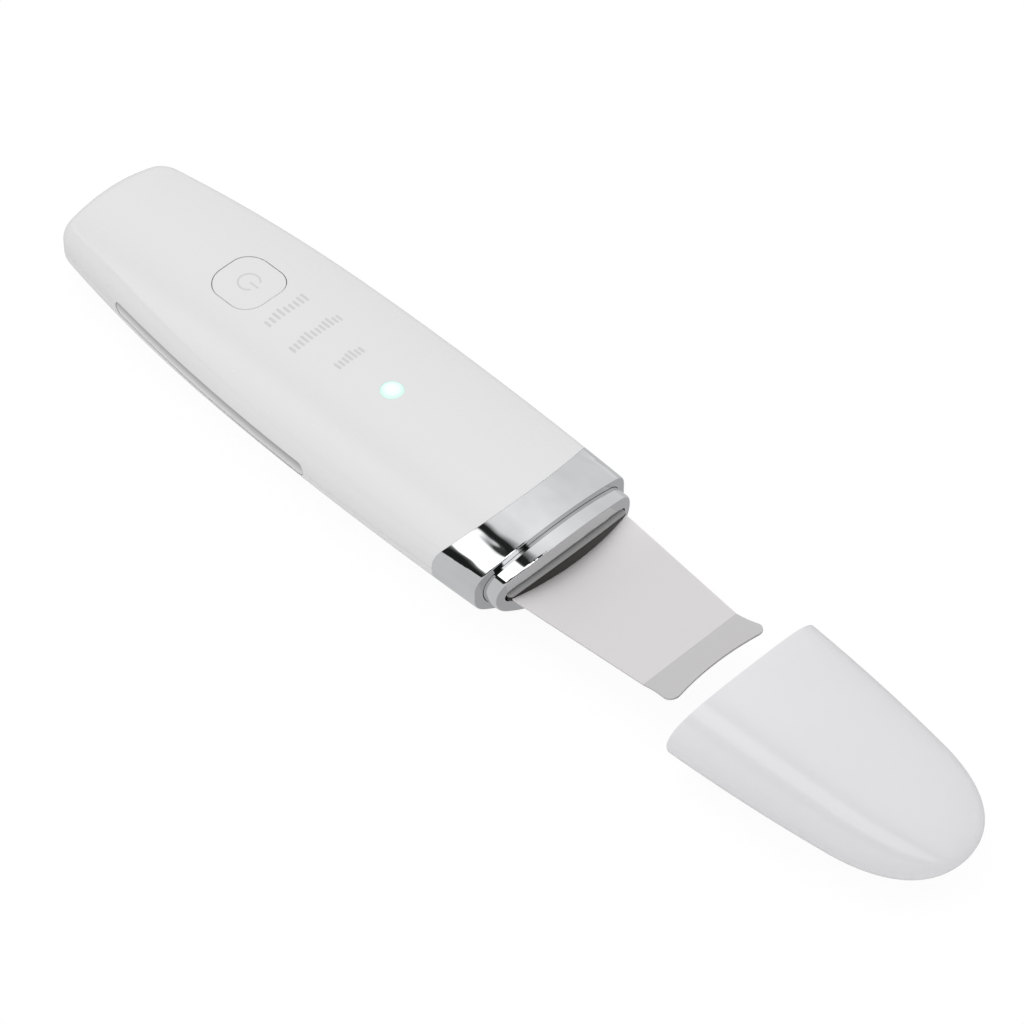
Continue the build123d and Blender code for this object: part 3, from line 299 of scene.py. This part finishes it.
def lit_lens():
    """Indicator light guide: white heart and a mint rim, glowing evenly."""
    made = Shader("lens")
    x, y, _ = made.axes()
    across = made.math("SUBTRACT", x, LENS_X)
    squares = made.math("MULTIPLY", across, across), made.math("MULTIPLY", y, y)
    reach = made.math("POWER", made.math("ADD", *squares), 0.5)
    glow = made.ramp(made.math("DIVIDE", reach, LENS_R), *LENS_GLOW)
    made.set(Base_Color=LENS_BODY, Roughness=made.between(made.noise(900.0), 0.2, 0.3))
    made.set(Emission_Color=glow, Emission_Strength=LENS_STRENGTH)
    return made.material


def print_ink(name, colour):
    """Pad-printed grey ink, slightly uneven and mottled at its finest scale."""
    made = Shader(name)
    mottle = made.noise(4000.0, 4.0, rough=0.7)
    thin = tuple(c * 0.93 for c in colour)
    made.set(Base_Color=made.ramp(mottle, (0.3, thin), (0.75, colour)))
    made.set(Roughness=made.between(mottle, 0.42, 0.6))
    made.bump((mottle, 0.15, 0.003 * MM))
    return made.material


# ---------------------------------------------------------------- materials of the inside
def mottled(name, dark, light, rough, metallic=0.0, scale=400.0, stretch=None, bump=0.1):
    """General finish: colour and polish vary between two tones with a noise, even or stretched."""
    made = Shader(name)
    place = made.stretched(stretch) if stretch else None
    grain = made.noise(1.0 if stretch else scale, 4.0, place, 0.6)
    made.set(Base_Color=made.ramp(grain, (0.3, dark), (0.7, light)), Metallic=metallic)
    made.set(Roughness=made.between(grain, rough - 0.06, rough + 0.08))
    made.bump((grain, bump, 0.01 * MM))
    return made.material


def board_green():
    """Green solder mask over copper tracks that show as paler lines."""
    made = Shader("board")
    tracks = made.ramp(made.wave(260.0, 6.0), (0.78, 0.0), (0.84, 1.0))
    tone = made.mix(tracks, (0.012, 0.11, 0.045), (0.03, 0.22, 0.09))
    made.set(Base_Color=tone, Roughness=made.between(made.noise(600.0), 0.28, 0.4))
    made.bump((tracks, 0.2, 0.02 * MM))
    return made.material


def copper_winding():
    """Enamelled copper wire, each turn a ridge, with painted shade in the grooves between turns."""
    made = Shader("winding")
    turn_ridges_and_shade = made.wave(1500.0, 0.3, bands_direction="Z")
    # painted shade: the copper is painted darker in the grooves between turns
    made.set(Base_Color=made.ramp(turn_ridges_and_shade, (0.1, (0.25, 0.07, 0.02)), (0.8, (0.62, 0.24, 0.08))))
    made.set(Metallic=1.0, Roughness=0.32)
    made.bump((turn_ridges_and_shade, 0.5, 0.05 * MM))
    return made.material


# Stretches of the noise that leave tool marks: round a turned piece, along a drawn one.
TURNED = (5000.0, 80.0, 80.0)
ALONG_SOCKET, ALONG_CAN = (300.0, 4000.0, 4000.0), (4000.0, 300.0, 4000.0)
# Dark and light tone, roughness, then any metal share, noise scale, stretch and bump.
INSIDE = {
    "silicone": ((0.55, 0.55, 0.54), (0.68, 0.68, 0.67), 0.55),
    "horn_alloy": ((0.6, 0.61, 0.62), (0.78, 0.79, 0.8), 0.3, 1.0, 400.0, TURNED),
    "screw_steel": ((0.42, 0.42, 0.43), (0.6, 0.6, 0.61), 0.32, 1.0, 900.0),
    "mass_steel": ((0.4, 0.4, 0.42), (0.58, 0.58, 0.6), 0.3, 1.0, 400.0, TURNED),
    "piezo_ceramic": ((0.42, 0.38, 0.3), (0.56, 0.51, 0.42), 0.5, 0.0, 1500.0),
    "brass": ((0.6, 0.44, 0.18), (0.8, 0.62, 0.3), 0.28, 1.0, 700.0),
    "grey_plastic": ((0.4, 0.41, 0.42), (0.5, 0.51, 0.52), 0.5, 0.0, 1200.0),
    "socket_metal": ((0.55, 0.55, 0.56), (0.7, 0.7, 0.71), 0.25, 1.0, 400.0, ALONG_SOCKET),
    "black_plastic": ((0.018, 0.018, 0.019), (0.04, 0.04, 0.042), 0.45, 0.0, 1500.0),
    "led": ((0.8, 0.78, 0.66), (0.9, 0.88, 0.76), 0.35),
    "ferrite": ((0.05, 0.05, 0.055), (0.12, 0.12, 0.13), 0.6, 0.2, 1800.0),
    "can_metal": ((0.55, 0.56, 0.58), (0.7, 0.7, 0.72), 0.25, 1.0, 400.0, ALONG_CAN),
    "cell_foil": ((0.5, 0.51, 0.52), (0.72, 0.73, 0.74), 0.3, 1.0, 220.0, None, 0.3),
    "foam": ((0.1, 0.1, 0.1), (0.2, 0.2, 0.2), 0.9, 0.0, 2500.0, None, 0.6),
    "red_wire": ((0.4, 0.02, 0.015), (0.6, 0.04, 0.03), 0.4),
    "white_wire": ((0.7, 0.7, 0.68), (0.85, 0.85, 0.82), 0.4),
    "black_wire": ((0.015, 0.015, 0.015), (0.035, 0.035, 0.035), 0.4),
}
FINISHES = {
    "white_shell": gloss_white("white_shell", WHITE, SHELL_ROUGHNESS),
    "white_button": gloss_white("white_button", WHITE, BUTTON_ROUGHNESS),
    "cap_plastic": cap_plastic(),
    "chrome": chrome(),
    "blade_steel": blade_steel(),
    "dark_seal": dark_seal(),
    "contact_metal": contact_metal(),
    "lens": lit_lens(),
    "board": board_green(),
    "winding": copper_winding(),
    **{slot: mottled(slot, *look) for slot, look in INSIDE.items()},
}


def dress_frame():
    """Gives every CAD node the finish of its material slot."""
    for part in frame["record"]["subparts"]:
        mesh = frame["nodes"][part["node"]].data
        mesh.materials.clear()
        mesh.materials.append(FINISHES[part["material_slot"]])


# ---------------------------------------------------------------- printed marks
INK_PROUD = 0.02 * MM
SYMBOL_R, SYMBOL_STROKE, SYMBOL_GAP = 2.4 * MM, 0.42 * MM, 36
SYMBOL_BAR = (0.4 * MM, 2.7 * MM)
# (distance along the handle, width across it, number of ticks) of each row
MARK_ROWS = ((-10.2 * MM, 12.2 * MM, 9), (-1.2 * MM, 14.5 * MM, 12), (9.1 * MM, 7.9 * MM, 7))
MARK_HEIGHTS = (2.1 * MM, 1.5 * MM, 1.5 * MM, 1.9 * MM, 1.4 * MM)
MARK_STROKE = 0.62 * MM
BLUNT_END = 0.12  # share of a stroke's half width left at its very tip


def surface_of(node):
    """Finder of the height of a CAD node's front face at a place."""
    mesh = frame["nodes"][node].data
    points = [v.co.copy() for v in mesh.vertices]
    faces = [tuple(p.vertices) for p in mesh.polygons]
    tree = BVHTree.FromPolygons(points, faces)

    def height(x, y):
        return tree.ray_cast(Vector((x, y, 0.1)), Vector((0, 0, -1)))[0].z

    return height


def ink_mesh(name, strokes, height):
    """Thin closed ink film over the surface; a stroke is a band of left and right (x, y) pairs."""
    built = bmesh.new()
    for band in strokes:
        rows = []
        for pair in band:
            low, high = (
                [built.verts.new((x, y, height(x, y) + lift)) for x, y in pair]
                for lift in (-INK_PROUD, INK_PROUD)
            )
            rows.append((low[0], low[1], high[1], high[0]))
        for a, b in zip(rows, rows[1:]):
            for i in range(4):
                j = (i + 1) % 4
                built.faces.new((a[i], a[j], b[j], b[i]))
        built.faces.new(rows[0])
        built.faces.new(rows[-1])
    bmesh.ops.recalc_face_normals(built, faces=built.faces)
    mesh = bpy.data.meshes.new(name)
    built.to_mesh(mesh)
    built.free()
    piece = bpy.data.objects.new(name, mesh)
    bpy.context.scene.collection.objects.link(piece)
    return piece


def arc_band(cx, cy, radius, width, start, end, steps=48):
    """Band along a circular arc, angles in degrees from +X."""
    band = []
    for i in range(steps + 1):
        a = radians(start + (end - start) * i / steps)
        sides = (radius - width / 2, radius + width / 2)
        band.append([(cx + r * cos(a), cy + r * sin(a)) for r in sides])
    return band


def dash_band(x0, y0, x1, y1, width, round_steps=6):
    """Straight band with round ends from one point to the other, blunt where a tip would pinch."""
    length = hypot(x1 - x0, y1 - y0)
    ux, uy = (x1 - x0) / length, (y1 - y0) / length
    half = width / 2
    stations = []
    for i in range(round_steps + 1):
        a = pi / 2 * i / round_steps
        stations.append((-half * cos(a), half * max(sin(a), BLUNT_END)))
    stations += [(length - s, w) for s, w in reversed(stations)]
    return [
        [(x0 + ux * s - uy * w * side, y0 + uy * s + ux * w * side) for side in (1, -1)]
        for s, w in stations
    ]


def add_power_symbol():
    """Broken ring and bar on the button, its bar towards the blade."""
    strokes = [
        arc_band(BUTTON_X, 0, SYMBOL_R, SYMBOL_STROKE, SYMBOL_GAP, 360 - SYMBOL_GAP),
        dash_band(BUTTON_X + SYMBOL_BAR[0], 0, BUTTON_X + SYMBOL_BAR[1], 0, SYMBOL_STROKE),
    ]
    piece = ink_mesh("power_symbol", strokes, surface_of("power_button"))
    piece.data.materials.append(print_ink("symbol_ink", SYMBOL_INK))
    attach(piece, "button")


def add_mode_marks():
    """Three rows of plain upright ticks below the button, where the modes are shown."""
    strokes = []
    for row_x, width, count in MARK_ROWS:
        for i in range(count):
            y = width * ((i + 0.5) / count - 0.5)
            reach = MARK_HEIGHTS[(2 * i + count) % len(MARK_HEIGHTS)]
            foot = row_x + max(MARK_HEIGHTS) / 2
            strokes.append(dash_band(foot - reach, y, foot, y, MARK_STROKE))
    piece = ink_mesh("mode_marks", strokes, surface_of("front_cover"))
    piece.data.materials.append(print_ink("mark_ink", MARK_INK))
    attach(piece, "handpiece")


# ---------------------------------------------------------------- studio
AZIMUTH, ELEVATION = radians(45.67), radians(48.26)
CAMERA_DISTANCE, CAMERA_LENS, SENSOR_WIDTH = 1.05, 180.0, 36.0
KEY_PLACE, KEY_TARGET, KEY_SIDE, KEY_POWER = (-0.3, 0.1, 1.3), (0.05, 0, 0), 0.9, 3.0
FLOOR_SIDE, FLOOR_DROP = 6.0, 0.02 * MM
DOME = ((0.0, 0.55), (0.9, 1.0))
FLOOR_GLOW, SHADOW_WASH, CARD_GREY = 0.12, 0.93, (0.58, 0.58, 0.585)
# (degrees from straight up towards +Y, grey) of the bands that mirror finishes see
ROOM_BANDS = (
    (-180, 0.72), (-135, 0.66), (-125, 0.59), (-40, 0.59), (-39, 0.015), (-24, 0.015),
    (-23, 1.5), (-8, 1.5), (-7, 0.015), (-1, 0.02), (3, 0.75), (14, 0.88),
    (30, 0.83), (44, 0.76), (60, 0.69), (86, 0.68), (98, 0.95), (180, 0.9),
)


def add_floor():
    """White table top with faint shadows, a grey card to mirror finishes and clear from below."""
    bpy.ops.mesh.primitive_plane_add(size=FLOOR_SIDE, location=(0, 0, CAD_BOX[0].z - FLOOR_DROP))
    floor = bpy.context.object
    floor.name = "floor"
    made = Shader("floor")
    made.set(Base_Color=made.ramp(made.noise(3.0), (0.3, 0.93), (0.7, 0.94)), Roughness=0.8)
    made.set(Specular_IOR_Level=0.0)
    made.set(Emission_Color=(1, 1, 1, 1), Emission_Strength=FLOOR_GLOW)
    path = made.node("ShaderNodeLightPath").outputs
    below = made.node("ShaderNodeNewGeometry").outputs["Backfacing"]
    nothing = made.node("ShaderNodeBsdfTransparent").outputs[0]
    wash = made.math("MULTIPLY", path["Is Camera Ray"], SHADOW_WASH)
    seen = made.mix_shaders(wash, made.bsdf.outputs[0], made.glow((1.0, 1.0, 1.0)))
    seen = made.mix_shaders(path["Is Glossy Ray"], seen, made.glow(CARD_GREY))
    made.feed(made.output.inputs["Surface"], made.mix_shaders(below, seen, nothing))
    floor.data.materials.append(made.material)


def add_key_light():
    """One wide soft light high over the tail, left out of mirror finishes."""
    data = bpy.data.lights.new("key", "AREA")
    data.shape = "RECTANGLE"
    data.size = data.size_y = KEY_SIDE
    data.energy = KEY_POWER
    lamp = bpy.data.objects.new("key", data)
    lamp.location = KEY_PLACE
    lamp.visible_glossy = False
    lamp.rotation_mode = "QUATERNION"
    lamp.rotation_quaternion = (Vector(KEY_TARGET) - Vector(KEY_PLACE)).to_track_quat("-Z", "Y")
    bpy.context.scene.collection.objects.link(lamp)


def sky_band(tree, place):
    """Grey of the room for mirror finishes: softboxes and dark gaps round the handle's axis."""
    nodes, links = tree.nodes, tree.links
    split = nodes.new("ShaderNodeSeparateXYZ")
    links.new(place, split.inputs[0])
    turn = nodes.new("ShaderNodeMath")
    turn.operation = "ARCTAN2"
    links.new(split.outputs["Y"], turn.inputs[0])
    links.new(split.outputs["Z"], turn.inputs[1])
    share = nodes.new("ShaderNodeMapRange")
    share.inputs["From Min"].default_value = -pi
    share.inputs["From Max"].default_value = pi
    links.new(turn.outputs[0], share.inputs["Value"])
    rooms = nodes.new("ShaderNodeValToRGB")
    stops = [((degrees + 180) / 360, grey) for degrees, grey in ROOM_BANDS]
    fill_ramp(rooms.color_ramp, stops)
    links.new(share.outputs["Result"], rooms.inputs["Fac"])
    return rooms.outputs["Color"]


def sky_dome(tree, place):
    """Grey of the room for all other light: bright overhead, dimmer at the sides."""
    nodes, links = tree.nodes, tree.links
    split = nodes.new("ShaderNodeSeparateXYZ")
    links.new(place, split.inputs[0])
    dome = nodes.new("ShaderNodeValToRGB")
    fill_ramp(dome.color_ramp, DOME)
    links.new(split.outputs["Z"], dome.inputs["Fac"])
    return dome.outputs["Color"]


def add_world():
    """White room: a plain white backdrop, a soft dome of light, and bands for mirror finishes."""
    world = bpy.data.worlds.new("studio")
    world.use_nodes = True
    tree = world.node_tree
    nodes, links = tree.nodes, tree.links
    path = nodes.new("ShaderNodeLightPath")
    place = nodes.new("ShaderNodeTexCoord").outputs["Generated"]
    by_gloss = nodes.new("ShaderNodeMix")
    by_gloss.data_type = "RGBA"
    links.new(path.outputs["Is Glossy Ray"], by_gloss.inputs["Factor"])
    links.new(sky_dome(tree, place), by_gloss.inputs[6])
    links.new(sky_band(tree, place), by_gloss.inputs[7])
    by_camera = nodes.new("ShaderNodeMix")
    by_camera.data_type = "RGBA"
    links.new(path.outputs["Is Camera Ray"], by_camera.inputs["Factor"])
    links.new(by_gloss.outputs[2], by_camera.inputs[6])
    by_camera.inputs[7].default_value = (1.0, 1.0, 1.0, 1.0)
    links.new(by_camera.outputs[2], nodes["Background"].inputs["Color"])
    bpy.context.scene.world = world


def add_camera():
    """Camera at the azimuth and elevation of the view, aimed at the middle of the object."""
    lo, hi = CAD_BOX
    centre = (lo + hi) / 2
    level = cos(ELEVATION)
    back = Vector((sin(AZIMUTH) * level, -cos(AZIMUTH) * level, sin(ELEVATION)))
    data = bpy.data.cameras.new("camera")
    data.lens = CAMERA_LENS
    data.sensor_width = SENSOR_WIDTH
    data.clip_start, data.clip_end = 0.01, 20.0
    camera = bpy.data.objects.new("camera", data)
    camera.location = centre + back * CAMERA_DISTANCE
    camera.rotation_mode = "QUATERNION"
    camera.rotation_quaternion = (-back).to_track_quat("-Z", "Y")
    bpy.context.scene.collection.objects.link(camera)
    bpy.context.scene.camera = camera


dress_frame()
add_power_symbol()
add_mode_marks()
add_floor()
add_world()
add_key_light()
add_camera()
bpy.context.scene.view_settings.view_transform = "Standard"
